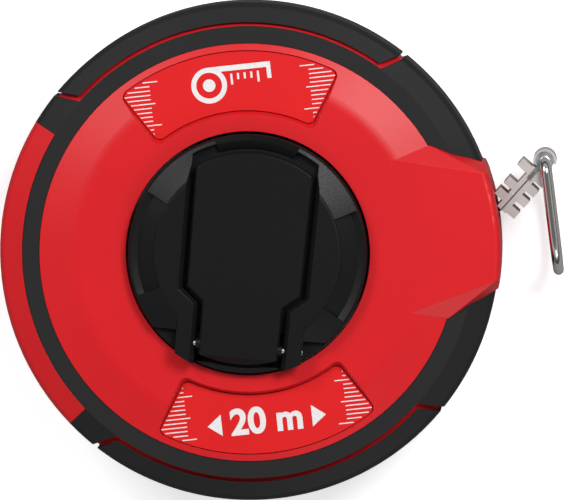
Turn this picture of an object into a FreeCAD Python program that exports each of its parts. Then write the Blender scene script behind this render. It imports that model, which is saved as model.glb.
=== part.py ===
import FreeCAD, Part
import math
import os
import re

import Sketcher
from FreeCAD import Placement, Rotation, Vector

# A closed-case long measuring tape with a fold-out crank, lying on its back.
# Origin: centre of the flat back face, on the reel's axis.  +X leaves through
# the tape's mouth, +Z out of the front face.  Millimetres and degrees.

DIMENSIONS = {
    # case outline
    "case_radius": 60, "case_thick": 30, "plateau_edge": 41.7, "edge_round": 1.2,
    "chamfer_drop": 2.4, "bevel_edge": 58.9, "bevel_drop": 5.2, "side_drop": 7.4,
    # rubber over-mould and rim grips
    "ring_inner": 50.2, "ring_outer": 54.4, "ring_sink": 0.3, "ring_thick": 1.2,
    "skin": 2.4, "shoulder_drop": 6.6, "groove_width": 0.9, "notch_angle": 47, "notch_half": 0.62,
    "notch_slant": 16, "notch_place": 57.2, "notch_floor_radius": 59, "notch_floor_drop": 7.8,
    "red_rim_angle": 142.4,
    # inside of the case
    "cavity_radius": 55, "wall": 2.4, "roof_drop": 4.3, "opening_radius": 29.3,
    "collar_wall": 2, "collar_drop": 5.5, "boss_radius": 4, "boss_place": 47.3,
    "screw_radius": 1.4, "screw_head": 2.8, "screw_head_low": 2.6, "screw_head_thick": 2,
    "screw_top": 20, "sink_radius": 3.1,
    # mouth block
    "mouth_radius": 60.6, "mouth_solid": 50.5, "mouth_reach": 62,
    "crest_back_x": 37.1, "crest_back_y": 18.5, "crest_tip_x": 58.6, "crest_tip_y": 12.9,
    "flank_back_x": 46, "flank_back_y": 20.9, "flank_tip_x": 57.96, "flank_tip_y": 15.5,
    # label panels
    "label_inner": 34.2, "label_outer": 48.4, "label_half_angle": 32.7, "label_sink": 1.95,
    "label_thick": 0.9, "label_gap": 0.2, "label_slope": 0.7, "label_corner": 1.8,
    # reel
    "blade_width": 12.5, "blade_thick": 0.3, "coil_radius": 38, "core_radius": 15.5,
    "core_inner": 13, "flange_radius": 41, "flange_thick": 1.2, "flange_gap": 0.35,
    "hub_tube": 8, "bush_radius": 6, "plate_thick": 2, "plate_hole": 5.2,
    "spindle_radius": 4, "spindle_low": 1.6, "spindle_top": 20, "bush_play": 0.05,
    "hub_gap": 0.4, "washer_radius": 8.6, "washer_thick": 0.5, "rear_boss_radius": 9,
    "rear_boss_top": 6.3,
    "axle_screw_radius": 1.5, "axle_screw_low": 9, "axle_head": 4.7, "axle_head_thick": 1.3,
    "cap_radius": 12, "cap_thick": 1.2, "cap_play": 0.1,
    # crank dial
    "hub_angle": -11.5, "dial_radius": 28.7, "dial_low": 23.1, "dial_rim": 33, "dial_top": 35.4,
    "dial_plateau": 22.3, "dial_flank": 28.3, "dial_boss": 11.9, "dial_pocket": 5.4,
    "pocket_floor": 31.5, "well_floor": 24.4, "well_radius": 7.2, "well_place": 13,
    "play": 1, "lip": 1, "ear_outer": 15.2, "ear_radius": 29.3, "ear_low": 33.4,
    "ear_notch_floor": 32.2, "ear_notch_top": -19.5, "low_rim": 32.6, "pocket_reach": 27.4,
    "pad_inner": 25.4, "pad_outer": 28.35, "pad_rise": 0.5, "pad_slope": 1.15, "pad_half_angle": 21,
    "finger_from": -30, "finger_sweep": 57, "left_finger_sweep": 53, "dial_screw_place": 10.5, "dial_screw_radius": 1.3,
    "dial_screw_head": 2.4, "dial_screw_head_thick": 1.4, "dial_screw_top": 26.5,
    # crank arm, its pin and its knob
    "arm_low": 31.9, "arm_end_radius": 24.5, "arm_far_half": 14.3, "arm_far_y": 34,
    "arm_waist_half": 13.75, "arm_waist_y": -8.9, "arm_neck_half": 9.7, "arm_neck_y": -12.2,
    "arm_tail_half": 9.5, "tail_radius": 26.5, "tail_line": -24.85, "tail_swing": 4.3,
    "hinge_y": -22.3, "hinge_height": 34, "barrel_radius": 1.3, "barrel_play": 0.15,
    "pin_radius": 0.75, "pin_from": -13.5, "pin_to": 15.3, "arm_corner": 1.6, "arm_edge": 0.45,
    "knob_radius": 6.4, "knob_low": 24.8, "knob_top": 31.6, "knob_sink": 26.4,
    "knob_axle_radius": 1.5, "knob_axle_low": 24.9, "knob_head_thick": 1.1,
    "knob_head_radius": 3, "knob_head_play": 0.4, "knob_axle_top": 34.4,
    # tape path and end fitting
    "tape_angle": 42, "path_radius": 38.5, "exit_run": 46.94, "blade_end": 13,
    "slot_half": 0.9, "liner_half": 2.4, "liner_bore": 1.2, "liner_from": -12.5,
    "liner_to": -2, "liner_high": 16.4, "liner_gap_high": 13.8,
    "wiper_inner": 0.45, "wiper_from": -9, "wiper_to": -5,
    "bumper_width": 13, "spine_from": 0.9, "spine_to": 13.9, "spine_high": 1.35,
    "rib_width": 2.1, "rib_tip": 3.8, "strap_thick": 0.45, "strap_from": 10.5,
    "eye_run": 16.6, "eye_outer": 2.2, "eye_bore": 1.3, "eye_width": 11, "sleeve_outer": 2.8,
    "sleeve_from": -68, "sleeve_sweep": 220,
    "rivet_run": 5.5, "rivet_radius": 0.6, "rivet_low": -1.2, "rivet_top": 1.6, "rivet_spread": 3.5,
    # end ring
    "ring_wire": 1.25, "ring_half_width": 8.6, "ring_length": 26.8, "ring_corner": 3,
    "ring_angle": -89.2,
}

doc = FreeCAD.newDocument("long_tape")
sheet = doc.addObject("Spreadsheet::Sheet", "dims")
for row, (alias, size) in enumerate(DIMENSIONS.items(), start=1):
    sheet.set("A%d" % row, alias)
    sheet.set("B%d" % row, str(size))
    sheet.setAlias("B%d" % row, alias)
doc.recompute()

UP = Vector(0, 0, 1)
NODES = []


def linked(expression):
    """The same expression with the sheet's name in front of each alias."""
    return re.sub(r"[a-z_]+", r"dims.\g<0>", str(expression))


def number(expression):
    return float(sheet.evalExpression(linked(expression)))


def at(radius, height):
    """A point of a turned profile, in the XZ plane."""
    return Vector(number(radius), 0, number(height))


def polar(radius, degrees, height=0.0):
    turn = math.radians(degrees)
    return Vector(radius * math.cos(turn), radius * math.sin(turn), height)


def around_axis(degrees):
    return Placement(Vector(), Rotation(UP, degrees))


HUB = around_axis(number("hub_angle"))
MIDDLE = number("case_thick / 2")
FACE = number("case_thick")
TANGENT = polar(number("path_radius"), number("tape_angle") - 90, MIDDLE)
ALONG = polar(1, number("tape_angle"))
EXIT = TANGENT + ALONG * number("exit_run")
TAPE = Placement(EXIT, Rotation(UP, number("tape_angle")))
EYE = EXIT + ALONG * number("eye_run")


# ---- document objects ------------------------------------------------------

def sketch_polygon(sketch, corners):
    """A closed polygon whose every corner is tied to the sheet."""
    points = [Vector(number(x), number(y), 0) for x, y in corners]
    count = len(points)
    for index in range(count):
        sketch.addGeometry(Part.LineSegment(points[index], points[(index + 1) % count]))
    for index in range(count):
        sketch.addConstraint(Sketcher.Constraint("Coincident", index, 2, (index + 1) % count, 1))
    for index, corner in enumerate(corners):
        for kind, expression in zip(("DistanceX", "DistanceY"), corner):
            rule = Sketcher.Constraint(kind, -1, 1, index, 1, number(expression))
            place = sketch.addConstraint(rule)
            sketch.setExpression("Constraints[%d]" % place, linked(expression))


def body_with_sketch(name, plane_role, corners):
    body = doc.addObject("PartDesign::Body", name)
    sketch = body.newObject("Sketcher::SketchObject", name + "_outline")
    plane = [item for item in body.Origin.OriginFeatures if item.Role == plane_role][0]
    sketch.AttachmentSupport = [(plane, "")]
    sketch.MapMode = "FlatFace"
    sketch_polygon(sketch, corners)
    doc.recompute()
    return body, sketch


def add_turned(name, corners, placement=None):
    """A body turned about Z from a polygon of (radius, height) corners."""
    body, sketch = body_with_sketch(name, "XZ_Plane", corners)
    turn = body.newObject("PartDesign::Revolution", name + "_turn")
    turn.Profile = sketch
    turn.ReferenceAxis = (sketch, ["V_Axis"])
    turn.Angle = 360
    body.Placement = placement or Placement()
    return keep(body, name)


def add_shape(name, shape, placement=None):
    """A sub-part whose shape is made with Part's own functions."""
    feature = doc.addObject("Part::Feature", name)
    own_place = shape.Placement
    feature.Shape = shape
    feature.Placement = (placement or Placement()).multiply(own_place)
    return keep(feature, name)


def keep(item, name):
    item.Label = name
    NODES.append(item)
    return item


# ---- shape helpers ---------------------------------------------------------

def closed_wire(path):
    """Straight runs between points; a (through, end) pair makes an arc."""
    edges = []
    here = path[0]
    for step in path[1:] + path[:1]:
        if isinstance(step, tuple):
            edges.append(Part.Arc(here, step[0], step[1]).toShape())
            here = step[1]
        elif here.distanceToPoint(step) > 1e-6:
            edges.append(Part.LineSegment(here, step).toShape())
            here = step
    return Part.Wire(edges)


def turned(path, start=0.0, sweep=360.0):
    face = Part.Face(closed_wire(path))
    face.rotate(Vector(), UP, start)
    return face.revolve(Vector(), UP, sweep)


def prism(path, low, high):
    """An upright prism from a path drawn at height zero."""
    face = Part.Face(closed_wire(path))
    face.translate(Vector(0, 0, low))
    return face.extrude(Vector(0, 0, high - low))


def drum(radius, low, high, centre=(0.0, 0.0)):
    return Part.makeCylinder(radius, high - low, Vector(centre[0], centre[1], low), UP)


def slab(x_from, x_to, y_from, y_to, z_from, z_to):
    corner = Vector(x_from, y_from, z_from)
    return Part.makeBox(x_to - x_from, y_to - y_from, z_to - z_from, corner)


def cross_rod(radius, x_from, x_to, y, z):
    """A rod along X between two planes."""
    return Part.makeCylinder(radius, x_to - x_from, Vector(x_from, y, z), Vector(1, 0, 0))


def fused(shapes):
    return shapes[0].multiFuse(shapes[1:]).removeSplitter()


def upright_edges(shape, chosen):
    """Edges parallel to Z whose foot passes the test."""
    found = []
    for edge in shape.Edges:
        ends = [vertex.Point for vertex in edge.Vertexes]
        if len(ends) == 2 and abs(ends[0].x - ends[1].x) + abs(ends[0].y - ends[1].y) < 1e-6:
            if chosen(ends[0]):
                found.append(edge)
    return found


def to_back(shape):
    """The front half's shape, mirrored to the back half."""
    return shape.mirror(Vector(0, 0, MIDDLE), UP)


# ---- case ------------------------------------------------------------------

def rim_round():
    """The rounded stretch of the rim, from the bevel's foot to the side."""
    top = at("bevel_edge", "case_thick - bevel_drop")
    side = at("case_radius", "case_thick - side_drop")
    across = side.x - top.x
    rise = top.z - side.z
    radius = (across ** 2 + rise ** 2) / (2 * across)
    half_turn = math.atan2(rise, radius - across) / 2
    through = Vector(side.x - radius + radius * math.cos(half_turn), 0,
                     side.z + radius * math.sin(half_turn))
    return top, through, side


def base_half():
    """The half case without its rubber: a turned dish with a chamfered face."""
    edge = number("plateau_edge")
    slope_run = number("ring_inner") - edge
    drop = number("chamfer_drop")
    back = number("edge_round")
    crease_start = at(edge - back, FACE)
    crease_end = Vector(edge + back, 0, FACE - drop * back / slope_run)
    crease_middle = Vector(edge, 0, FACE - drop * back / slope_run / 4)
    path = [
        Vector(0, 0, MIDDLE), at("case_radius - skin", MIDDLE),
        at("case_radius - skin", "case_thick - shoulder_drop"),
        at("ring_outer", "case_thick - chamfer_drop - ring_sink - ring_thick"),
        at("ring_inner", "case_thick - chamfer_drop - ring_sink - ring_thick"),
        at("ring_inner", "case_thick - chamfer_drop"), crease_end,
        (crease_middle, crease_start), Vector(0, 0, FACE),
    ]
    return turned(path)


def rim_section(top_height):
    """Section of the full-width rim outside the flat ring."""
    top, through, side = rim_round()
    return [
        at("ring_outer", "case_thick - chamfer_drop - ring_sink - ring_thick"),
        at("ring_outer", top_height), top, (through, side), Vector(side.x, 0, MIDDLE),
        at("case_radius - skin", MIDDLE), at("case_radius - skin", "case_thick - shoulder_drop"),
    ]


def mouth_polyhedron():
    """The raised block that carries the mouth, with a facet down each flank."""
    low = MIDDLE
    reach = number("mouth_reach")
    ring_height = number("case_thick - chamfer_drop")
    rim_height = number("case_thick - bevel_drop")
    crest_back = Vector(number("crest_back_x"), number("crest_back_y"), FACE)
    crest_tip = Vector(number("crest_tip_x"), number("crest_tip_y"), FACE)
    crest_out = Vector(reach, number("crest_tip_y - 0.9"), FACE)
    flank_back = Vector(number("flank_back_x"), number("flank_back_y"), ring_height)
    flank_tip = Vector(number("flank_tip_x"), number("flank_tip_y"), rim_height)
    flank_out = Vector(reach, number("flank_tip_y - 1.8"), rim_height - 1)

    def foot(point):
        return Vector(point.x, point.y, low)

    def other(point):
        return Vector(point.x, -point.y, point.z)

    half = [
        [crest_back, flank_back, crest_tip],
        [flank_back, flank_tip, crest_tip],
        [crest_tip, flank_tip, flank_out],
        [crest_tip, flank_out, crest_out],
        [flank_back, foot(flank_back), foot(flank_tip), flank_tip],
        [flank_tip, foot(flank_tip), foot(flank_out), flank_out],
        [crest_back, foot(crest_back), foot(flank_back), flank_back],
    ]
    outline = [crest_back, crest_tip, crest_out]
    ground = [foot(point) for point in (crest_back, flank_back, flank_tip, flank_out)]
    loops = half + [[other(point) for point in loop] for loop in half]
    loops.append(outline + [other(point) for point in reversed(outline)])
    loops.append(ground + [other(point) for point in reversed(ground)])
    loops.append([crest_back, foot(crest_back), other(foot(crest_back)), other(crest_back)])
    loops.append([crest_out, flank_out, foot(flank_out),
                  other(foot(flank_out)), other(flank_out), other(crest_out)])
    faces = [Part.Face(Part.makePolygon(loop + loop[:1])) for loop in loops]
    shell = Part.Shell(faces)
    shell.sewShape()
    solid = Part.makeSolid(shell)
    return solid if solid.Volume > 0 else solid.reversed()


def mouth_block():
    radius = number("mouth_radius")
    limit = turned([
        Vector(0, 0, MIDDLE), Vector(radius, 0, MIDDLE), Vector(radius, 0, FACE - 1.4),
        (Vector(radius - 0.4, 0, FACE - 0.5), Vector(radius - 1.6, 0, FACE)), Vector(0, 0, FACE),
    ])
    return mouth_polyhedron().common(limit)


def cavity():
    """The room for the reel, leaving the mouth's block solid."""
    roof = number("case_thick - roof_drop")
    outer = number("cavity_radius")
    path = [
        Vector(0, 0, MIDDLE), Vector(outer, 0, MIDDLE), Vector(outer, 0, FACE - 7.2),
        Vector(outer - 1.2, 0, FACE - 6.0), Vector(50, 0, FACE - 5.6), Vector(48.6, 0, roof),
        at("opening_radius + collar_wall", roof),
        at("opening_radius + collar_wall", "case_thick - collar_drop"),
        at(0, "case_thick - collar_drop"),
    ]
    solid_from = number("mouth_solid")
    return turned(path).cut(slab(solid_from, 70, -22, 22, MIDDLE - 1, FACE + 1))


def roof_relief():
    """Thins the face to one wall where no label panel is set into it."""
    inner = number("opening_radius + collar_wall")
    path = [
        at(inner, "case_thick - roof_drop - 0.1"), at("plateau_edge - 1", "case_thick - roof_drop - 0.1"),
        at("plateau_edge - 1", "case_thick - wall"), at(inner, "case_thick - wall"),
    ]
    half = 90 - number("label_half_angle") - 5
    return [turned(path, centre - half, 2 * half) for centre in (0, 180)]


def screw_places():
    return [polar(number("boss_place"), 45 + 90 * turn) for turn in range(4)]


def four_ways(shape):
    """A shape near the upper notch by the mouth, mirrored to all four notches."""
    pair = [shape, shape.mirror(Vector(), Vector(0, 1, 0))]
    return pair + [item.mirror(Vector(), Vector(1, 0, 0)) for item in pair]


def notch_blocks(y_from, y_to):
    """Blocks along the slanted notches, between two distances from their middle lines."""
    block = slab(-9, 9, y_from, y_to, -1, FACE + 1)
    place = polar(number("notch_place"), number("notch_angle"))
    block.Placement = Placement(place, Rotation(UP, number("notch_slant")))
    return four_ways(block)


def notch_floors():
    """Red bars that close the foot of each notch up to the outline."""
    half = number("notch_half")
    outer = number("notch_floor_radius")
    inner = number("case_radius - skin") - 1
    ring = turned([
        Vector(inner, 0, MIDDLE), Vector(outer, 0, MIDDLE), at(outer, "case_thick - notch_floor_drop"),
        at("case_radius - skin", "case_thick - shoulder_drop"), at(inner, "case_thick - shoulder_drop"),
    ])
    return [ring.common(block) for block in notch_blocks(-half, half)]


def half_case():
    """Outer form of one case half, hollowed, without openings or labels."""
    red_rim = number("red_rim_angle")
    solid = fused([
        base_half(),
        turned(rim_section("case_thick - chamfer_drop"), red_rim, 360 - 2 * red_rim),
        mouth_block(),
    ] + notch_floors())
    solid = solid.cut(cavity())
    posts = [drum(number("boss_radius"), MIDDLE, FACE - number("roof_drop") + 0.2, (spot.x, spot.y))
             for spot in screw_places()]
    return solid.multiFuse(posts)


def tape_channel():
    """The liner's pocket and the narrow slot where the tape leaves."""
    liner = number("liner_half")
    high = number("liner_high") / 2
    slot_high = number("liner_gap_high") / 2
    to = number("liner_to")
    pocket = slab(-22, to, -liner, liner, -high, high)
    slot = slab(to, 8, -number("slot_half"), number("slot_half"), -slot_high, slot_high)
    channel = pocket.fuse(slot)
    channel.Placement = TAPE
    return channel


def label_outline(grow, height):
    """Outline of a label panel round +Y, grown evenly on all sides."""
    inner = number("label_inner") - grow
    outer = number("label_outer") + grow
    half = number("label_half_angle")
    inner_half = half + math.degrees(math.asin(grow / inner))
    outer_half = half + math.degrees(math.asin(grow / outer))
    start = polar(outer, 90 - outer_half, height)
    return [
        start, (polar(outer, 90, height), polar(outer, 90 + outer_half, height)),
        polar(inner, 90 + inner_half, height),
        (polar(inner, 90, height), polar(inner, 90 - inner_half, height)),
    ]


def label_panel():
    top = FACE - number("label_sink")
    plate = prism(label_outline(0.0, 0.0), top - number("label_thick"), top)
    return plate.makeFillet(number("label_corner"), upright_edges(plate, lambda point: True))


def label_recess():
    """Seat for the panel with a sloping wall up to the case's face."""
    gap = number("label_gap")
    top = FACE - number("label_sink")
    seat = prism(label_outline(gap, 0.0), top - number("label_thick"), top + 0.01)
    seat = seat.makeFillet(number("label_corner"), upright_edges(seat, lambda point: True))
    loops = [closed_wire(label_outline(gap + share * number("label_slope"), height))
             for share, height in ((0, top), (1.2, FACE + 0.2 * number("label_sink")))]
    funnel = Part.makeLoft(loops, True, True)
    slanted = [edge for edge in funnel.Edges
               if abs(edge.Vertexes[0].Z - edge.Vertexes[-1].Z) > 0.5]
    return [seat, funnel.makeFillet(number("label_corner"), slanted)]


def front_shell():
    label_cuts = label_recess()
    lower_cuts = [cut.copy() for cut in label_cuts]
    for cut in lower_cuts:
        cut.rotate(Vector(), UP, 180)
    opening = drum(number("opening_radius"), MIDDLE - 1, FACE + 1)
    screw = number("screw_radius")
    holes = [drum(screw, MIDDLE - 1, number("screw_top"), (spot.x, spot.y)) for spot in screw_places()]
    tools = [opening, tape_channel()] + roof_relief() + label_cuts + lower_cuts + holes
    return half_case().cut(tools)


def rear_shell():
    """Closed back with the spindle's boss, the cap's seat and the screw sinks."""
    relief = [to_back(cut) for cut in roof_relief()]
    shell = to_back(half_case())
    boss_top = number("rear_boss_top")
    well = drum(number("opening_radius + collar_wall"), number("wall"), number("collar_drop + 1"))
    shell = shell.cut(well).fuse(drum(number("rear_boss_radius"), 0.5, boss_top))
    tools = relief + [
        tape_channel(),
        drum(number("spindle_radius"), number("spindle_low"), boss_top + 1),
        drum(number("cap_radius"), -1, number("cap_thick")),
    ]
    for spot in screw_places():
        where = (spot.x, spot.y)
        tools.append(drum(number("screw_radius"), 0, MIDDLE + 1, where))
        tools.append(drum(number("sink_radius"), -1, number("screw_head_low + screw_head_thick"), where))
    return shell.cut(tools)


def rubber_ring():
    """Front over-mould: the flat ring, the cheeks by the mouth and the end blocks."""
    seat = "case_thick - chamfer_drop - ring_sink - ring_thick"
    top = "case_thick - chamfer_drop - ring_sink"
    flat = turned([at("ring_inner", seat), at("ring_outer", seat), at("ring_outer", top),
                   at("ring_inner", top)])
    reach = number("notch_angle") + 4
    back_reach = 180 - reach
    block_sweep = number("red_rim_angle") - back_reach
    section = rim_section(top)
    beyond = notch_blocks(-number("notch_half"), 20)
    rim_pieces = [
        turned(section, -reach, 2 * reach), turned(section, back_reach, block_sweep),
        turned(section, -back_reach - block_sweep, block_sweep),
    ]
    pieces = [flat] + [piece.cut(beyond) for piece in rim_pieces]
    solid_mouth = mouth_polyhedron()
    return fused(pieces).cut(solid_mouth)


def rim_grip():
    """Upper rim bar: a channel that wraps the rim from the front to the back."""
    inner = "ring_outer + groove_width"
    groove = number("groove_width")
    shoulder = number("case_radius - skin - ring_outer")
    fall = number("shoulder_drop - chamfer_drop - ring_sink - ring_thick") * groove / shoulder
    bevel_fall = number("bevel_drop - chamfer_drop - ring_sink") * groove
    bevel_fall /= number("bevel_edge - ring_outer")
    seat = number("case_thick - chamfer_drop - ring_sink - ring_thick") - fall
    crown = number("case_thick - chamfer_drop - ring_sink") - bevel_fall
    top, through, side = rim_round()
    path = [
        at(inner, seat), at(inner, crown), top, (through, side), Vector(side.x, 0, MIDDLE),
        at("case_radius - skin", MIDDLE), at("case_radius - skin", "case_thick - shoulder_drop"),
    ]
    start = number("notch_angle") - 4
    half = turned(path, start, 180 - 2 * start)
    return fused([half, to_back(half)]).cut(notch_blocks(-20, number("notch_half")))


def screw_set(places, radius, low, top, head_radius, head_low, head_top, slot_side):
    """Pan-head screws with a cross recess; slot_side is +1 or -1 along Z."""
    screws = []
    arm = head_radius * 0.62
    face = head_top if slot_side > 0 else head_low
    depth = 0.35 * (head_top - head_low)
    for spot in places:
        where = (spot.x, spot.y)
        screw = drum(radius, low, top, where).fuse(drum(head_radius, head_low, head_top, where))
        bars = [slab(spot.x - long_x, spot.x + long_x, spot.y - long_y, spot.y + long_y,
                     face - depth, face + depth)
                for long_x, long_y in ((arm, 0.3), (0.3, arm))]
        screws.append(screw.cut(bars))
    return Part.makeCompound(screws)


def case_screws():
    low = number("screw_head_low")
    top = number("screw_head_low + screw_head_thick")
    return screw_set(screw_places(), number("screw_radius"), top, number("screw_top"),
                     number("screw_head"), low, top, -1)


def mouth_liner():
    liner = number("liner_half")
    high = number("liner_high") / 2
    bore = number("liner_bore")
    bore_high = number("liner_gap_high") / 2
    outer = slab(number("liner_from"), number("liner_to"), -liner, liner, -high, high)
    return outer.cut(slab(-20, 5, -bore, bore, -bore_high, bore_high))


def felt_wiper():
    high = number("liner_gap_high") / 2
    return slab(number("wiper_from"), number("wiper_to"), number("wiper_inner"),
                number("liner_bore"), -high, high)


# ---- crank dial, in the hub's own axes ------------------------------------

def arm_path(grow):
    """Bottle outline of the crank arm, grown on its sides; its end is left long."""
    return [
        Vector(number("arm_far_half") + grow, number("arm_far_y"), 0),
        Vector(number("arm_waist_half") + grow, number("arm_waist_y") - 0.4 * grow, 0),
        Vector(number("arm_neck_half") + grow, number("arm_neck_y") - 0.4 * grow, 0),
    ]


def mirrored(right):
    return right + [Vector(-point.x, point.y, 0) for point in reversed(right)]


def arm_pocket():
    """Room for the folded arm, the swing of its tail and a chamfered lip."""
    play = number("play")
    floor = number("pocket_floor")
    top = number("dial_top")
    tail_half = number("arm_tail_half") + play
    tail = Vector(tail_half, -34, 0)
    body = prism(mirrored(arm_path(play) + [tail]), floor, top + 1)
    swing = cross_rod(number("tail_swing") + 0.35, -tail_half, tail_half,
                      number("hinge_y"), number("hinge_height"))
    lip = number("lip")
    lip_tail = Vector(tail_half + 1.6 * lip, -34, 0)
    low_loop = closed_wire(mirrored(arm_path(play) + [tail]))
    high_loop = closed_wire(mirrored(arm_path(play + 1.6 * lip) + [lip_tail]))
    low_loop.translate(Vector(0, 0, top - lip))
    high_loop.translate(Vector(0, 0, top + 0.6 * lip))
    chamfer = Part.makeLoft([low_loop, high_loop], True, True)
    return [body.common(drum(number("pocket_reach"), floor - 1, top + 2)), swing, chamfer]


def finger_pocket(start, sweep):
    """A shallow scoop in the dial's flank for a fingertip."""
    top = number("dial_top")
    inner = number("dial_plateau") + 0.1
    path = [Vector(inner, 0, top + 1), Vector(inner, 0, top - 0.5), Vector(26.4, 0, top - 2.9),
            Vector(28.1, 0, top - 2.2), Vector(28.1, 0, top + 1)]
    return turned(path, start, sweep)


def thumb_ramp():
    """The rim's cut and the sloping pad that let a thumb reach the arm's end."""
    floor = number("pocket_floor")
    inner = number("pad_inner")
    outer = number("pad_outer")
    slope = number("pad_slope") / (outer - inner)
    start = floor + number("pad_rise")
    half = number("pad_half_angle")
    cut_from = number("pocket_reach") - 0.5
    pad_to = number("pocket_reach") + 0.5
    above = [Vector(cut_from, 0, start + slope * (cut_from - inner)),
             Vector(outer, 0, start + slope * (outer - inner)),
             Vector(outer, 0, floor + 5), Vector(cut_from, 0, floor + 5)]
    below = [Vector(inner, 0, floor - 0.3), Vector(pad_to, 0, floor - 0.3),
             Vector(pad_to, 0, start + slope * (pad_to - inner)), Vector(inner, 0, start)]
    return turned(above, 90 - half, 2 * half), turned(below, 90 - half, 2 * half)


def dial_blank():
    top = number("dial_top")
    rim = number("dial_rim")
    radius = number("dial_radius")
    flank = number("dial_flank")
    path = [
        at(0, "dial_low"), at("dial_radius", "dial_low"), Vector(radius, 0, rim),
        Vector(flank, 0, rim + 0.5), at("dial_plateau + 0.4", top - 0.1),
        at("dial_plateau - 0.4", top), Vector(0, 0, top),
    ]
    boss_low = number("dial_low") - 1.5
    ear = number("ear_outer")
    ears = drum(number("ear_radius"), number("ear_low"), top).common(slab(-ear, ear, -31, -12, 0, top))
    return fused([turned(path), drum(number("dial_boss"), boss_low, number("dial_low")), ears])


def dial_screw_places():
    return [polar(number("dial_screw_place"), degrees) for degrees in (200, 270, 340)]


def crank_dial():
    top = number("dial_top")
    ear = number("ear_outer")
    tail = number("arm_tail_half") + number("play")
    sweep = number("finger_sweep")
    ramp_cut, ramp_pad = thumb_ramp()
    tools = arm_pocket() + [
        ramp_cut, finger_pocket(number("finger_from"), sweep),
        finger_pocket(180 - number("finger_from") - sweep, number("left_finger_sweep"))]
    tools.append(slab(-tail, tail, -31, number("hinge_y") - 2, number("low_rim"), top + 1))
    for x_from, x_to in ((ear, 31), (-31, -ear)):
        tools.append(slab(x_from, x_to, -31, number("ear_notch_top"), number("ear_notch_floor"),
                          top + 1))
    tools.append(drum(number("well_radius"), number("well_floor"), top, (0, number("well_place"))))
    tools.append(drum(number("dial_pocket"), 20, number("dial_low") - 0.5))
    tools.append(cross_rod(number("pin_radius"), number("pin_from"), ear + 1,
                           number("hinge_y"), number("hinge_height")))
    inner = number("dial_plateau - 0.8")
    hollow = turned([at(inner, 20), at(26.7, 20), at(26.7, "well_floor + 2.6"),
                     at(inner, "well_floor + 2.6")])
    tools.append(hollow)
    for spot in dial_screw_places():
        tools.append(drum(number("dial_screw_radius"), 20, number("dial_screw_top"), (spot.x, spot.y)))
    return dial_blank().cut(tools).fuse(ramp_pad).removeSplitter()


def arm_room():
    """Where the arm may be: round ends at both sides, and a tail that can swing."""
    low = number("arm_low") - 1
    top = number("dial_top") + 1
    hinge = number("hinge_y")
    front = drum(number("arm_end_radius"), low, top).cut(slab(-30, 30, -30, 0, low, top))
    back = drum(number("tail_radius"), low, top).cut(slab(-30, 30, 0, 30, low, top))
    swing = cross_rod(number("tail_swing"), -30, 30, hinge, number("hinge_height"))
    swing = swing.fuse(slab(-30, 30, hinge, 1, low, top))
    return front.fuse(back.common(swing))


def crank_arm():
    """The fold-out arm with its hinge barrel and the knob axle's blind hole."""
    low = number("arm_low")
    top = number("dial_top")
    hinge = number("hinge_y")
    tail = Vector(number("arm_tail_half"), -30, 0)
    plate = prism(mirrored(arm_path(0.0) + [tail]), low, top).common(arm_room())
    slope = slab(-20, 20, -8, 0, 0, 8)
    slope.Placement = Placement(Vector(0, number("tail_line"), top), Rotation(Vector(1, 0, 0), 45))
    plate = plate.cut(slope).removeSplitter()
    corners = upright_edges(plate, lambda point: point.y > 5)
    plate = plate.makeFillet(number("arm_corner"), corners)
    rim = [edge for edge in plate.Edges
           if all(abs(vertex.Z - top) < 1e-6 for vertex in edge.Vertexes)
           and max(vertex.Y for vertex in edge.Vertexes) > hinge + 0.01]
    plate = plate.makeChamfer(number("arm_edge"), rim)
    height = number("hinge_height")
    reach = number("arm_tail_half + play - barrel_play")
    barrel = cross_rod(number("barrel_radius"), -reach, reach, hinge, height)
    arm = plate.fuse(barrel).removeSplitter()
    play = number("bush_play")
    tools = [
        cross_rod(number("pin_radius") + play, -20, 20, hinge, height),
        drum(number("knob_axle_radius"), low - 1, number("knob_axle_top"), (0, number("well_place"))),
    ]
    return arm.cut(tools)


# ---- tape end, in the tape's own axes (X along the tape) ------------------

def comb_corners(ribs, side):
    """Comb outline; ribs are (centre, half width, tip) and side is +1 or -1."""
    blade = "blade_thick / 2 * %d" % side
    leaf = "(blade_thick / 2 + strap_thick) * %d" % side
    corners = [("spine_from", blade), ("strap_from", blade), ("strap_from", leaf),
               ("spine_to", leaf), ("spine_to", "spine_high * %d" % side)]
    for centre, half, tip in reversed(ribs):
        corners += [
            ("%s + %s" % (centre, half), "spine_high * %d" % side),
            ("%s + %s" % (centre, half), "(%s) * %d" % (tip, side)),
            ("%s - %s" % (centre, half), "(%s) * %d" % (tip, side)),
            ("%s - %s" % (centre, half), "spine_high * %d" % side),
        ]
    corners.append(("spine_from", "spine_high * %d" % side))
    return corners


def bumper(ribs, side):
    """One half of the comb bumper, with holes for the rivets."""
    high = number("bumper_width") / 2
    outline = [Vector(number(x), number(y), 0) for x, y in comb_corners(ribs, side)]
    return prism(outline, -high, high).cut(rivet_rods())


def tape_lead():
    """The straight stretch of blade from the coil to the end fitting."""
    half = number("blade_thick") / 2
    high = number("blade_width") / 2
    blade = slab(-number("exit_run"), number("blade_end"), -half, half, -high, high)
    return blade.cut(rivet_rods())


def rivet_rods():
    low = number("rivet_low")
    length = number("rivet_top") - low
    run = number("rivet_run")
    spread = number("rivet_spread")
    return [Part.makeCylinder(number("rivet_radius"), length, Vector(run, low, side * spread),
                              Vector(0, 1, 0)) for side in (-1, 1)]


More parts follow.
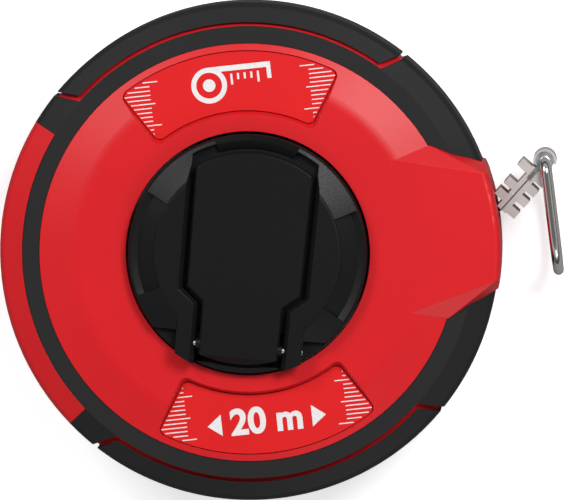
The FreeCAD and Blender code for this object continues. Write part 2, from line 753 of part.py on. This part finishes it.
def end_eye():
    """Steel strap folded round the ring's wire and clamped on the blade."""
    run = number("eye_run")
    half = number("blade_thick") / 2
    strap = number("strap_thick")
    high = number("eye_width") / 2
    start = number("strap_from")
    leaves = slab(start, run, -half - strap, half + strap, -high, high)
    eye = drum(number("eye_outer"), -high, high, (run, 0))
    throat = slab(start - 1, number("blade_end"), -half, half, -high - 1, high + 1)
    return fused([eye, leaves]).cut([drum(number("eye_bore"), -high - 1, high + 1, (run, 0)), throat])


def eye_sleeve():
    """Clear sleeve over the outer side of the eye."""
    high = number("eye_width") / 2
    outer = number("sleeve_outer")
    inner = number("eye_outer")
    path = [Vector(inner, 0, -high), Vector(outer, 0, -high), Vector(outer, 0, high),
            Vector(inner, 0, high)]
    sleeve = turned(path, number("sleeve_from"), number("sleeve_sweep"))
    sleeve.translate(Vector(number("eye_run"), 0, 0))
    return sleeve


def wire_run(start, direction, length):
    return Part.makeCylinder(number("ring_wire"), length, start, direction)


def wire_bend(start, direction, centre, axis, degrees):
    """A bend of the ring's wire: its round section turned about an axis."""
    circle = Part.Wire(Part.Circle(start, direction, number("ring_wire")).toShape())
    return Part.Face(circle).revolve(centre, axis, degrees)


def end_ring():
    """Flat wire ring: X along its length from the eye, Z along its width."""
    half = number("ring_half_width")
    bend = number("ring_corner")
    side_end = number("ring_length") - half
    forward = Vector(1, 0, 0)
    turn_axis = Vector(0, 1, 0)
    bar_half = half - bend
    pieces = [wire_run(Vector(0, 0, -bar_half), UP, 2 * bar_half)]
    for side in (-1, 1):
        start = Vector(0, 0, side * bar_half)
        centre = Vector(bend, 0, side * bar_half)
        pieces.append(wire_bend(start, UP, centre, turn_axis * side, 90))
        pieces.append(wire_run(Vector(bend, 0, side * half), forward, side_end - bend))
        pieces.append(wire_bend(Vector(side_end, 0, side * half), forward,
                                Vector(side_end, 0, 0), turn_axis * side, 90))
    return fused(pieces)


# ---- nodes -----------------------------------------------------------------

def build_case():
    add_shape("front_shell", front_shell())
    add_shape("rear_shell", rear_shell())
    add_shape("front_rubber_ring", rubber_ring())
    add_shape("rear_rubber_ring", to_back(rubber_ring()))
    add_shape("upper_rim_grip", rim_grip())
    add_shape("lower_rim_grip", rim_grip(), around_axis(180))
    add_shape("upper_label_panel", label_panel())
    add_shape("lower_label_panel", label_panel(), around_axis(180))
    add_shape("case_screws", case_screws())
    add_shape("mouth_liner", mouth_liner(), TAPE)
    add_shape("upper_felt_wiper", felt_wiper(), TAPE)
    half_turn = Placement(Vector(), Rotation(Vector(1, 0, 0), 180))
    add_shape("lower_felt_wiper", felt_wiper(), TAPE.multiply(half_turn))
    add_turned("rear_cap", [
        (0, 0), ("cap_radius - cap_play - 0.5", 0), ("cap_radius - cap_play", 0.5),
        ("cap_radius - cap_play", "cap_thick"), (0, "cap_thick")])
    add_turned("spindle", [
        (0, "spindle_low"), ("spindle_radius", "spindle_low"), ("spindle_radius", "spindle_top"),
        ("axle_screw_radius", "spindle_top"), ("axle_screw_radius", "axle_screw_low"),
        (0, "axle_screw_low")])
    add_turned("thrust_washer", [
        ("spindle_radius", "rear_boss_top"), ("washer_radius", "rear_boss_top"),
        ("washer_radius", "rear_boss_top + washer_thick"),
        ("spindle_radius", "rear_boss_top + washer_thick")])
    add_shape("spindle_screw", screw_set(
        [Vector()], number("axle_screw_radius"), number("axle_screw_low"), number("spindle_top"),
        number("axle_head"), number("spindle_top"), number("spindle_top + axle_head_thick"), 1))


def reel_drum(hub_low, flange_low, web_low, core_top, plate_low):
    """Core, back flange, web and bearing tube in one, with the dial screws' holes."""
    drum_body = turned([
        at("bush_radius", hub_low), at("hub_tube", hub_low), at("hub_tube", plate_low),
        at("core_inner", plate_low), at("core_inner", flange_low), at("flange_radius", flange_low),
        at("flange_radius", web_low), at("core_radius", web_low), at("core_radius", core_top),
        at("plate_hole", core_top), at("plate_hole", plate_low), at("bush_radius", plate_low)])
    radius = number("dial_screw_radius")
    low = number(plate_low) - 1
    return drum_body.cut([drum(radius, low, FACE, (spot.x, spot.y)) for spot in dial_screw_places()])


def build_reel():
    hub_low = "rear_boss_top + washer_thick + hub_gap"
    blade_low = "case_thick / 2 - blade_width / 2"
    blade_high = "case_thick / 2 + blade_width / 2"
    flange_low = blade_low + " - flange_gap - flange_thick"
    web_low = blade_low + " - flange_gap"
    core_top = blade_high + " + flange_gap"
    plate_low = core_top + " - plate_thick"
    add_shape("reel_drum", reel_drum(hub_low, flange_low, web_low, core_top, plate_low), HUB)
    add_turned("front_flange", [
        ("dial_boss", core_top), ("flange_radius", core_top),
        ("flange_radius", core_top + " + flange_thick"), ("dial_boss", core_top + " + flange_thick")])
    add_turned("drum_bush", [
        ("spindle_radius + bush_play", hub_low), ("bush_radius", hub_low), ("bush_radius", plate_low),
        ("spindle_radius + bush_play", plate_low)])
    add_turned("tape_coil", [
        ("core_radius", blade_low), ("coil_radius", blade_low), ("coil_radius", blade_high),
        ("core_radius", blade_high)])
    add_shape("crank_dial", crank_dial(), HUB)
    plate = number(plate_low)
    add_shape("dial_screws", screw_set(
        dial_screw_places(), number("dial_screw_radius"), plate, number("dial_screw_top"),
        number("dial_screw_head"), plate - number("dial_screw_head_thick"), plate, -1), HUB)
    pin = cross_rod(number("pin_radius"), number("pin_from"), number("pin_to"),
                    number("hinge_y"), number("hinge_height"))
    add_shape("hinge_pin", pin, HUB)


def build_crank():
    add_shape("crank_arm", crank_arm(), HUB)
    knob_place = HUB.multiply(Placement(Vector(0, number("well_place"), 0), Rotation()))
    add_turned("crank_knob", [
        ("knob_head_radius + knob_head_play", "knob_low"), ("knob_radius - 0.8", "knob_low"),
        ("knob_radius", "knob_low + 0.8"), ("knob_radius", "knob_top"),
        ("knob_axle_radius + bush_play", "knob_top"), ("knob_axle_radius + bush_play", "knob_sink"),
        ("knob_head_radius + knob_head_play", "knob_sink")], knob_place)
    add_turned("knob_axle", [
        (0, "knob_axle_low"), ("knob_head_radius", "knob_axle_low"),
        ("knob_head_radius", "knob_axle_low + knob_head_thick"),
        ("knob_axle_radius", "knob_axle_low + knob_head_thick"),
        ("knob_axle_radius", "knob_axle_top"), (0, "knob_axle_top")], knob_place)


def build_tape_end():
    add_shape("tape_lead", tape_lead(), TAPE)
    add_shape("end_eye", end_eye(), TAPE)
    add_shape("eye_sleeve", eye_sleeve(), TAPE)
    half = "rib_width / 2"
    upper_ribs = [(3.8, half, "rib_tip"), (7.2, half, "rib_tip"),
                  (11.7, "rib_width / 2 + 0.85", "rib_tip + 0.5")]
    lower_ribs = [(middle, half, "rib_tip") for middle in (2.3, 5.9, 9.2, 12.3)]
    add_shape("bumper_upper", bumper(upper_ribs, 1), TAPE)
    add_shape("bumper_lower", bumper(lower_ribs, -1), TAPE)
    add_shape("bumper_rivets", Part.makeCompound(rivet_rods()), TAPE)
    ring_place = Placement(EYE, Rotation(UP, number("ring_angle")))
    add_shape("end_ring", end_ring(), ring_place)


def check_and_write():
    doc.recompute()
    for item in doc.Objects:
        if "Invalid" in item.State or "Error" in item.State:
            raise RuntimeError("%s failed: %s" % (item.Label, item.State))
    os.makedirs("parts", exist_ok=True)
    for item in NODES:
        shape = item.Shape
        if shape.isNull() or not shape.isValid() or shape.Volume <= 0:
            raise RuntimeError("%s has no valid solid" % item.Label)
        shape.exportStep("parts/%s.step" % item.Label)
        print("%-20s %9.1f mm3  %d solid(s)" % (item.Label, shape.Volume, len(shape.Solids)))


build_case()
build_reel()
build_crank()
build_tape_end()
check_and_write()
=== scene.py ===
import math

import bmesh
import bpy
from mathutils import Matrix, Vector


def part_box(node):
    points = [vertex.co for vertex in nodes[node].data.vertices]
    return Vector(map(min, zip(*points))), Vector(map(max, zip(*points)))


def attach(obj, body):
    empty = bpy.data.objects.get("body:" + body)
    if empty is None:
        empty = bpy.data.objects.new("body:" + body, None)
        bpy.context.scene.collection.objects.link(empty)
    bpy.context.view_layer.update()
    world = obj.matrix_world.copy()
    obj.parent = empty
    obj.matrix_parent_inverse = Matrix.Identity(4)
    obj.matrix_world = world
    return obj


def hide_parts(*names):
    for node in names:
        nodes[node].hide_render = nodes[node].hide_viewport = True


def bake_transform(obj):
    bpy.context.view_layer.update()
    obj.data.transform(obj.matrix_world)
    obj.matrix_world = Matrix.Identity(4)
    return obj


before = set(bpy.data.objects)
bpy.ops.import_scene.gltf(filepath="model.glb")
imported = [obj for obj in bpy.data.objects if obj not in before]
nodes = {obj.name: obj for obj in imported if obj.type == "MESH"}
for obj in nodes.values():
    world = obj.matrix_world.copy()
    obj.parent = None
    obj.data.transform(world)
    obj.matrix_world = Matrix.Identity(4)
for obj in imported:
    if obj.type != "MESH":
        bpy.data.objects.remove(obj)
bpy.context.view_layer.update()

MM = 0.001

# The case lies on its back: +Z faces the camera, +X runs to the mouth, and the
# whole object is turned a little anticlockwise in the view.
CASE_TURN = math.radians(6.3)
VIEW_RIGHT = Vector((math.cos(CASE_TURN), -math.sin(CASE_TURN), 0))
VIEW_UP = Vector((math.sin(CASE_TURN), math.cos(CASE_TURN), 0))
MIDDLE = Vector((0, 0, 15 * MM))

LABEL_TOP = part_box("upper_label_panel")[1].z

# The blade leaves the coil at COIL_RADIUS and runs to the mouth along TAPE_WAY;
# PULL is how far its end slides out in one turn of the reel.
TAPE_ANGLE = math.radians(42)
TAPE_WAY = Vector((math.cos(TAPE_ANGLE), math.sin(TAPE_ANGLE), 0))
TAPE_SIDE = Vector((-TAPE_WAY.y, TAPE_WAY.x, 0))
COIL_RADIUS = 38.5
PULL = 241.9 * MM


# ---- camera, floor and light -------------------------------------------------

def add_camera():
    """A long lens, almost straight above, with its field set by the case."""
    distance = 2.5
    field = 136 * MM
    tilt = math.tan(math.radians(4.2))
    lean_right = 0.5
    lean_up = 0.866
    aim_right = 7.63 * MM
    aim_up = -0.15 * MM
    target = MIDDLE + aim_right * VIEW_RIGHT + aim_up * VIEW_UP
    lean = lean_right * VIEW_RIGHT + lean_up * VIEW_UP
    back = (Vector((0, 0, 1)) + tilt * lean).normalized()
    right = VIEW_UP.cross(back).normalized()
    up = back.cross(right)
    data = bpy.data.cameras.new("camera")
    data.sensor_width = 36
    data.lens = data.sensor_width * distance / field
    data.clip_end = 20
    camera = bpy.data.objects.new("camera", data)
    bpy.context.scene.collection.objects.link(camera)
    place = Matrix((right, up, back)).transposed().to_4x4()
    place.translation = target + distance * back
    camera.matrix_world = place
    bpy.context.scene.camera = camera


def add_softbox(name, azimuth, zenith, distance, width, height, power):
    """A soft rectangle of light that faces the case; its azimuth starts at the view's right."""
    turn = math.radians(azimuth)
    lean = math.radians(zenith)
    around = math.cos(turn) * VIEW_RIGHT + math.sin(turn) * VIEW_UP
    way = math.sin(lean) * around + math.cos(lean) * Vector((0, 0, 1))
    data = bpy.data.lights.new(name, "AREA")
    data.shape = "RECTANGLE"
    data.size = width
    data.size_y = height
    data.energy = power
    light = bpy.data.objects.new(name, data)
    bpy.context.scene.collection.objects.link(light)
    facing = way.to_track_quat("Z", "Y").to_matrix().to_4x4()
    light.matrix_world = Matrix.Translation(MIDDLE + distance * way) @ facing


def add_world():
    """A room that is dark overhead and at the floor, and light in a band between.

    Each level is a height, from straight down (0) to straight up (1), and its grey.
    """
    world = bpy.data.worlds.new("studio")
    world.use_nodes = True
    tree = world.node_tree
    place = tree.nodes.new("ShaderNodeTexCoord")
    split = tree.nodes.new("ShaderNodeSeparateXYZ")
    tree.links.new(place.outputs["Generated"], split.inputs["Vector"])
    steps = tree.nodes.new("ShaderNodeValToRGB")
    band = steps.color_ramp
    band.interpolation = "EASE"
    levels = ((0.0, 0.06), (0.2, 0.08), (0.42, 0.42), (0.66, 0.42), (0.86, 0.16), (1.0, 0.14))
    while len(band.elements) < len(levels):
        band.elements.new(0.5)
    for element, (height, level) in zip(band.elements, levels):
        element.position = height
        element.color = (level, level, level, 1)
    tree.links.new(split.outputs["Z"], steps.inputs["Fac"])
    tree.links.new(steps.outputs["Color"], tree.nodes["Background"].inputs["Color"])
    bpy.context.scene.world = world


def add_floor():
    """A pale floor just under the case: bright as a backdrop, dimmer in reflections."""
    half = 3.0
    level = -0.1 * MM
    reflected = (0.3, 0.3, 0.3, 1)
    glow = (0.55, 0.55, 0.55, 1)
    mesh = bpy.data.meshes.new("floor")
    mesh.from_pydata([(-half, -half, level), (half, -half, level), (half, half, level),
                      (-half, half, level)], [], [(0, 1, 2, 3)])
    floor = bpy.data.objects.new("floor", mesh)
    bpy.context.scene.collection.objects.link(floor)
    shader, tree = principled("floor", (0.9, 0.9, 0.9), 0.9)
    grain = noise(tree, 60, 3)
    seen = ramp(tree, grain, 0.3, 0.7, (0.89, 0.89, 0.89), (0.92, 0.92, 0.92))
    ray = tree.nodes.new("ShaderNodeLightPath")
    mix = tree.nodes.new("ShaderNodeMix")
    mix.data_type = "RGBA"
    mix.inputs["A"].default_value = reflected
    tree.links.new(ray.outputs["Is Camera Ray"], mix.inputs["Factor"])
    tree.links.new(seen, mix.inputs["B"])
    tree.links.new(mix.outputs["Result"], shader.inputs["Base Color"])
    tree.links.new(ray.outputs["Is Camera Ray"], shader.inputs["Emission Strength"])
    shader.inputs["Emission Color"].default_value = glow
    mesh.materials.append(bpy.data.materials["floor"])


# ---- material building blocks --------------------------------------------------

def principled(name, base, roughness, metallic=0.0, **sockets):
    """A new material; returns its shader and its node tree."""
    material = bpy.data.materials.new(name)
    material.use_nodes = True
    shader = material.node_tree.nodes["Principled BSDF"]
    shader.inputs["Base Color"].default_value = (*base, 1)
    shader.inputs["Roughness"].default_value = roughness
    shader.inputs["Metallic"].default_value = metallic
    for socket, value in sockets.items():
        shader.inputs[socket.replace("_", " ")].default_value = value
    return shader, material.node_tree


def noise(tree, scale, detail=2.0, stretch=(1, 1, 1)):
    """Cloudy noise over the piece's own coordinates, in cells per metre."""
    place = tree.nodes.new("ShaderNodeTexCoord")
    mapping = tree.nodes.new("ShaderNodeMapping")
    mapping.inputs["Scale"].default_value = stretch
    cloud = tree.nodes.new("ShaderNodeTexNoise")
    cloud.inputs["Scale"].default_value = scale
    cloud.inputs["Detail"].default_value = detail
    tree.links.new(place.outputs["Object"], mapping.inputs["Vector"])
    tree.links.new(mapping.outputs["Vector"], cloud.inputs["Vector"])
    return cloud.outputs["Fac"]


def ramp(tree, value, low, high, dark, light):
    """The value's stretch from low to high, spread over two colours."""
    steps = tree.nodes.new("ShaderNodeValToRGB")
    steps.color_ramp.elements[0].position = low
    steps.color_ramp.elements[0].color = (*dark, 1)
    steps.color_ramp.elements[1].position = high
    steps.color_ramp.elements[1].color = (*light, 1)
    tree.links.new(value, steps.inputs["Fac"])
    return steps.outputs["Color"]


def calculate(tree, operation, first, second):
    """One Math node; second is a plain number or another node's output."""
    step = tree.nodes.new("ShaderNodeMath")
    step.operation = operation
    tree.links.new(first, step.inputs[0])
    if isinstance(second, float):
        step.inputs[1].default_value = second
    else:
        tree.links.new(second, step.inputs[1])
    return step.outputs[0]


def tint(shader, tree, value, dark, light):
    """Spread the middle of the value's range over two base colours."""
    tree.links.new(ramp(tree, value, 0.3, 0.7, dark, light), shader.inputs["Base Color"])


def vary_roughness(shader, tree, value, low, high):
    """Spread the middle of the value's range over two roughnesses."""
    spread = tree.nodes.new("ShaderNodeMapRange")
    spread.inputs["From Min"].default_value = 0.3
    spread.inputs["From Max"].default_value = 0.7
    spread.inputs["To Min"].default_value = low
    spread.inputs["To Max"].default_value = high
    tree.links.new(value, spread.inputs["Value"])
    tree.links.new(spread.outputs["Result"], shader.inputs["Roughness"])


def bump(shader, tree, value, strength, depth, edge=0.0):
    """Fine relief; an edge radius also softens the light on sharp edges."""
    relief = tree.nodes.new("ShaderNodeBump")
    if edge:
        soft = tree.nodes.new("ShaderNodeBevel")
        soft.inputs["Radius"].default_value = edge
        tree.links.new(soft.outputs["Normal"], relief.inputs["Normal"])
    relief.inputs["Strength"].default_value = strength
    relief.inputs["Distance"].default_value = depth
    tree.links.new(value, relief.inputs["Height"])
    tree.links.new(relief.outputs["Normal"], shader.inputs["Normal"])


# ---- materials -----------------------------------------------------------------

MOULDED_EDGE = 0.22 * MM


def moulded(name, base, roughness, grain_size, relief, spread=0.08, **sockets):
    """Moulded plastic or rubber: fine grain, with slow shifts in colour and gloss."""
    shader, tree = principled(name, base, roughness, **sockets)
    slow = noise(tree, 35, 3)
    dark = [channel * (1 - spread) for channel in base]
    light = [min(1.0, channel * (1 + spread)) for channel in base]
    tint(shader, tree, slow, dark, light)
    grain = noise(tree, 1 / grain_size, 4)
    vary_roughness(shader, tree, grain, roughness - 0.05, roughness + 0.05)
    bump(shader, tree, grain, 0.6, relief, MOULDED_EDGE)
    return bpy.data.materials[name]


def metal(name, base, low, high, stretch):
    """Bare metal with fine lines drawn along one way."""
    shader, tree = principled(name, base, low, metallic=1.0)
    lines = noise(tree, 900, 3, stretch)
    tint(shader, tree, lines, [channel * 0.93 for channel in base], base)
    vary_roughness(shader, tree, lines, low, high)
    bump(shader, tree, lines, 0.25, 0.01 * MM)
    return bpy.data.materials[name]


def milky_vinyl():
    """Soft, half clear vinyl with a faint haze and rounded edges."""
    base = (0.8, 0.76, 0.74)
    shader, tree = principled("milky_vinyl", base, 0.3, Transmission_Weight=0.4, IOR=1.46)
    slow = noise(tree, 260, 3)
    tint(shader, tree, slow, (0.76, 0.71, 0.69), (0.88, 0.84, 0.82))
    fine = noise(tree, 2500, 2)
    vary_roughness(shader, tree, fine, 0.28, 0.4)
    bump(shader, tree, slow, 0.2, 0.08 * MM, 0.25 * MM)
    return bpy.data.materials["milky_vinyl"]


def felt():
    """Short grey fibres with a little sheen."""
    base = (0.25, 0.24, 0.22)
    shader, tree = principled("felt", base, 0.95, Sheen_Weight=0.4)
    fibre = noise(tree, 5000, 5)
    tint(shader, tree, fibre, (0.16, 0.15, 0.14), (0.33, 0.32, 0.3))
    bump(shader, tree, fibre, 0.9, 0.15 * MM)
    return bpy.data.materials["felt"]


def white_print():
    """White ink, slightly worn."""
    shader, tree = principled("white_print", (0.86, 0.84, 0.83), 0.5)
    worn = noise(tree, 2400, 4)
    tint(shader, tree, worn, (0.8, 0.76, 0.76), (0.9, 0.88, 0.88))
    bump(shader, tree, worn, 0.3, 0.02 * MM)
    return bpy.data.materials["white_print"]


def paint(material, *names):
    """Give each named CAD node that one material."""
    for name in names:
        slots = nodes[name].data.materials
        slots.clear()
        slots.append(material)


def paint_nodes():
    """Materials of the CAD nodes that are kept as they are."""
    red = moulded("red_abs", (0.7, 0.013, 0.018), 0.36, 0.22 * MM, 0.02 * MM, 0.03,
                   Specular_IOR_Level=0.3)
    label_red = moulded("label_red", (0.74, 0.012, 0.014), 0.42, 0.16 * MM, 0.03 * MM, 0.03,
                         Specular_IOR_Level=0.25)
    rubber = moulded("soft_rubber", (0.014, 0.014, 0.0145), 0.55, 0.12 * MM, 0.03 * MM,
                      Specular_IOR_Level=0.25)
    black = moulded("black_abs", (0.006, 0.006, 0.0062), 0.38, 0.3 * MM, 0.05 * MM,
                     Specular_IOR_Level=0.22)
    grey = moulded("grey_nylon", (0.16, 0.165, 0.17), 0.5, 0.3 * MM, 0.03 * MM)
    paint(red, "front_shell", "rear_shell")
    paint(label_red, "upper_label_panel", "lower_label_panel")
    paint(rubber, "front_rubber_ring", "rear_rubber_ring", "upper_rim_grip", "lower_rim_grip")
    paint(black, "crank_dial", "crank_arm", "crank_knob", "rear_cap")
    paint(grey, "mouth_liner", "thrust_washer", "drum_bush", "reel_drum", "front_flange")
    paint(felt(), "upper_felt_wiper", "lower_felt_wiper")
    zinc = metal("zinc_steel", (0.62, 0.62, 0.63), 0.25, 0.4, (1, 1, 8))
    paint(zinc, "case_screws", "spindle", "spindle_screw", "dial_screws", "hinge_pin", "knob_axle",
          "end_eye", "bumper_rivets")
    paint(metal("polished_wire", (0.82, 0.8, 0.78), 0.07, 0.14, (1, 6, 1)), "end_ring")
    paint(milky_vinyl(), "bumper_upper", "bumper_lower", "eye_sleeve")
    blade = moulded("blade_lacquer", (0.8, 0.76, 0.6), 0.35, 0.5 * MM, 0.005 * MM)
    paint(blade, "tape_coil", "tape_lead")


# ---- print on the labels ----------------------------------------------------------

PRINT_BELOW = -0.01 * MM
PRINT_ABOVE = 0.025 * MM
LABEL_MARKS = 13
DISC_SIDES = 48
FIGURES_Y = -40.6


def flat_piece(name, loops, material, body):
    """Thin closed plates on the label's face, one for each loop of (x, y) in mm."""
    mesh = bpy.data.meshes.new(name)
    work = bmesh.new()
    for loop in loops:
        base = [work.verts.new((x * MM, y * MM, LABEL_TOP + PRINT_BELOW)) for x, y in loop]
        cap = [work.verts.new((x * MM, y * MM, LABEL_TOP + PRINT_ABOVE)) for x, y in loop]
        work.faces.new(list(reversed(base)))
        work.faces.new(cap)
        count = len(loop)
        for index in range(count):
            after = (index + 1) % count
            work.faces.new((base[index], base[after], cap[after], cap[index]))
    bmesh.ops.recalc_face_normals(work, faces=work.faces)
    work.to_mesh(mesh)
    work.free()
    mesh.materials.append(material)
    piece = bpy.data.objects.new(name, mesh)
    bpy.context.scene.collection.objects.link(piece)
    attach(piece, body)
    return piece


def bar(x_from, x_to, y, width):
    """A level bar with y along its middle."""
    half = width / 2
    return [(x_from, y - half), (x_to, y - half), (x_to, y + half), (x_from, y + half)]


def rule_marks(side):
    """Millimetre marks at one end of the upper label, cut off at its edge."""
    first_y = 43.25
    pitch = 1.04
    label_radius = 47.95
    flank_angle = math.radians(32.7)
    flank_gap = 0.35
    short_mark = 19.2
    marks = []
    for index in range(LABEL_MARKS):
        y = first_y - pitch * index
        arc = math.sqrt(label_radius ** 2 - y ** 2)
        flank = y * math.tan(flank_angle) - flank_gap
        outer = min(arc, flank)
        inner = short_mark
        if index in (0, 10):
            inner -= 2.0
        elif index == 5:
            inner -= 1.0
        start, end = sorted((side * outer, side * inner))
        marks.append(bar(start, end, y, 0.25))
    return marks


def half_turned(loops):
    """The same loops turned by 180 degrees about the case's axis."""
    return [[(-x, -y) for x, y in loop] for loop in loops]


def disc_loop(x, y, radius):
    step = 2 * math.pi / DISC_SIDES
    return [(x + radius * math.cos(step * index), y + radius * math.sin(step * index))
            for index in range(DISC_SIDES)]


def ring_parts(x, y, outer, inner):
    """A flat ring as quads, so that no plate has a hole in it."""
    big = disc_loop(x, y, outer)
    small = disc_loop(x, y, inner)
    parts = []
    for here in range(DISC_SIDES):
        after = (here + 1) % DISC_SIDES
        parts.append([big[here], big[after], small[after], small[here]])
    return parts


def tape_pictogram():
    """A plain sign for a tape: a reel, its blade with marks and an end tab."""
    reel_x = -4.9
    middle = 40.9
    reel_radius = 4.3
    reel_hole = 3.1
    hub_radius = 1.5
    blade_end = 10.2
    blade_width = 1.3
    tab_start = 9.2
    tab_length = 4.0
    marks_drop = 2.0
    mark_width = 0.5
    join = reel_radius + 0.02
    parts = ring_parts(reel_x, middle, reel_radius, reel_hole)
    parts.append(disc_loop(reel_x, middle, hub_radius))
    top = middle + reel_radius
    under = top - blade_width
    arc = [math.radians(44.5 + 7.5 * step) for step in range(7)]
    blade = [(reel_x + join * math.cos(turn), middle + join * math.sin(turn)) for turn in arc]
    blade += [(blade_end, top), (blade_end, under)]
    low = top - tab_length
    tab = [(tab_start, under), (blade_end, under), (blade_end, low), (tab_start, low)]
    marks = []
    start = top - marks_drop
    for x, length in ((0.4, 2.6), (2.0, 1.5), (3.6, 1.5), (5.2, 1.5), (6.8, 2.6)):
        side = x + mark_width
        marks.append([(x, start), (side, start), (side, start - length), (x, start - length)])
    return parts + [blade, tab] + marks


def arrow_head(x, y, side):
    """A triangle that points away from the middle."""
    length = 3.4
    half = 2.6
    return [(x + side * length, y), (x, y + half), (x, y - half)]


def add_number():
    """The tape's length in plain bold figures on the lower label."""
    data = bpy.data.curves.new("length_figures", "FONT")
    data.body = "20 m"
    data.size = 8.6 * MM
    data.offset = 0.28 * MM
    data.extrude = 0.015 * MM
    data.align_x = "CENTER"
    data.align_y = "CENTER"
    text = bpy.data.objects.new("length_figures", data)
    bpy.context.scene.collection.objects.link(text)
    text.location = (0, FIGURES_Y * MM, LABEL_TOP + 0.01 * MM)
    data.materials.append(bpy.data.materials["white_print"])
    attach(text, "case")


def add_print():
    """All white print: marks at the labels' ends, the tape's sign and its length."""
    white = white_print()
    arrow_x = 10.9
    marks = rule_marks(-1) + rule_marks(1)
    arrows = [arrow_head(arrow_x, FIGURES_Y, 1), arrow_head(-arrow_x, FIGURES_Y, -1)]
    pieces = [
        flat_piece("upper_label_marks", marks, white, "case"),
        flat_piece("lower_label_marks", half_turned(marks), white, "case"),
        flat_piece("tape_sign", tape_pictogram(), white, "case"),
        flat_piece("length_arrows", arrows, white, "case"),
    ]
    add_number()


# ---- blade -----------------------------------------------------------------------

def add_blade():
    """The straight blade, reaching from the coil out of the mouth; its print is moved on by one
    pull, eased in over its first 46 mm.
    """
    tangent = Vector((math.sin(TAPE_ANGLE), -math.cos(TAPE_ANGLE), 0)) * COIL_RADIUS * MM
    length = 59.94 * MM
    hold = 46 * MM
    low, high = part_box("tape_lead")
    steps = 240
    half = 0.15 * MM
    mesh = bpy.data.meshes.new("blade_strip")
    work = bmesh.new()
    layer = work.loops.layers.uv.new("run")
    rows = []
    for index in range(steps + 1):
        run = length * index / steps
        centre = tangent + run * TAPE_WAY
        rows.append([work.verts.new(centre + side * half * TAPE_SIDE + Vector((0, 0, z)))
                     for side, z in ((-1, low.z), (1, low.z), (1, high.z), (-1, high.z))])
    for index in range(steps):
        here, after = rows[index], rows[index + 1]
        for corner in range(4):
            other = (corner + 1) % 4
            face = work.faces.new((here[corner], after[corner], after[other], here[other]))
            face.material_index = 1 if corner in (0, 2) else 0
    work.faces.new(list(reversed(rows[0])))
    work.faces.new(rows[-1])
    bmesh.ops.recalc_face_normals(work, faces=work.faces)
    for face in work.faces:
        for loop in face.loops:
            run = (loop.vert.co - tangent).dot(TAPE_WAY)
            share = min(1.0, max(0.0, run / hold))
            eased = share * share * (3 - 2 * share)
            loop[layer].uv = (run + PULL * eased, loop.vert.co.z - low.z)
    work.to_mesh(mesh)
    work.free()
    mesh.materials.append(blade_print())
    mesh.materials.append(metal("blade_edge", (0.16, 0.15, 0.14), 0.4, 0.5, (1, 1, 1)))
    blade = bpy.data.objects.new("blade_strip", mesh)
    bpy.context.scene.collection.objects.link(blade)
    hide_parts("tape_lead")
    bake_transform(blade)


def repeated(tree, value, pitch, width):
    """1 on a line of that width at each multiple of pitch."""
    turn = calculate(tree, "FLOORED_MODULO", value, pitch)
    return calculate(tree, "LESS_THAN", turn, width)


def blade_print():
    """Yellowish lacquer with black millimetre, 5 mm and centimetre marks."""
    shader, tree = principled("blade_marks", (0.8, 0.74, 0.42), 0.35)
    place = tree.nodes.new("ShaderNodeTexCoord")
    split = tree.nodes.new("ShaderNodeSeparateXYZ")
    tree.links.new(place.outputs["UV"], split.inputs["Vector"])
    run = split.outputs["X"]
    across = split.outputs["Y"]
    line_width = 0.22 * MM
    marks = None
    for pitch, start in ((1, 9.6), (5, 8.2), (10, 6.0)):
        on_line = repeated(tree, run, pitch * MM, line_width)
        in_reach = calculate(tree, "GREATER_THAN", across, start * MM)
        lines = calculate(tree, "MULTIPLY", on_line, in_reach)
        marks = lines if marks is None else calculate(tree, "MAXIMUM", marks, lines)
    mix = tree.nodes.new("ShaderNodeMix")
    mix.data_type = "RGBA"
    tree.links.new(marks, mix.inputs["Factor"])
    slow = noise(tree, 60, 3)
    lacquer = ramp(tree, slow, 0.3, 0.7, (0.78, 0.72, 0.4), (0.84, 0.79, 0.48))
    tree.links.new(lacquer, mix.inputs["A"])
    mix.inputs["B"].default_value = (0.02, 0.02, 0.02, 1)
    tree.links.new(mix.outputs["Result"], shader.inputs["Base Color"])
    return bpy.data.materials["blade_marks"]


# ---- everything ---------------------------------------------------------------------

bpy.context.scene.view_settings.view_transform = "Standard"
add_camera()
add_world()
add_floor()
add_softbox("key", 48, 34, 1.1, 0.36, 0.36, 6.6)
add_softbox("left", 136, 42, 1.2, 0.4, 0.4, 4.6)
add_softbox("low", 290, 55, 1.2, 0.6, 0.4, 1.8)
paint_nodes()
add_print()
add_blade()
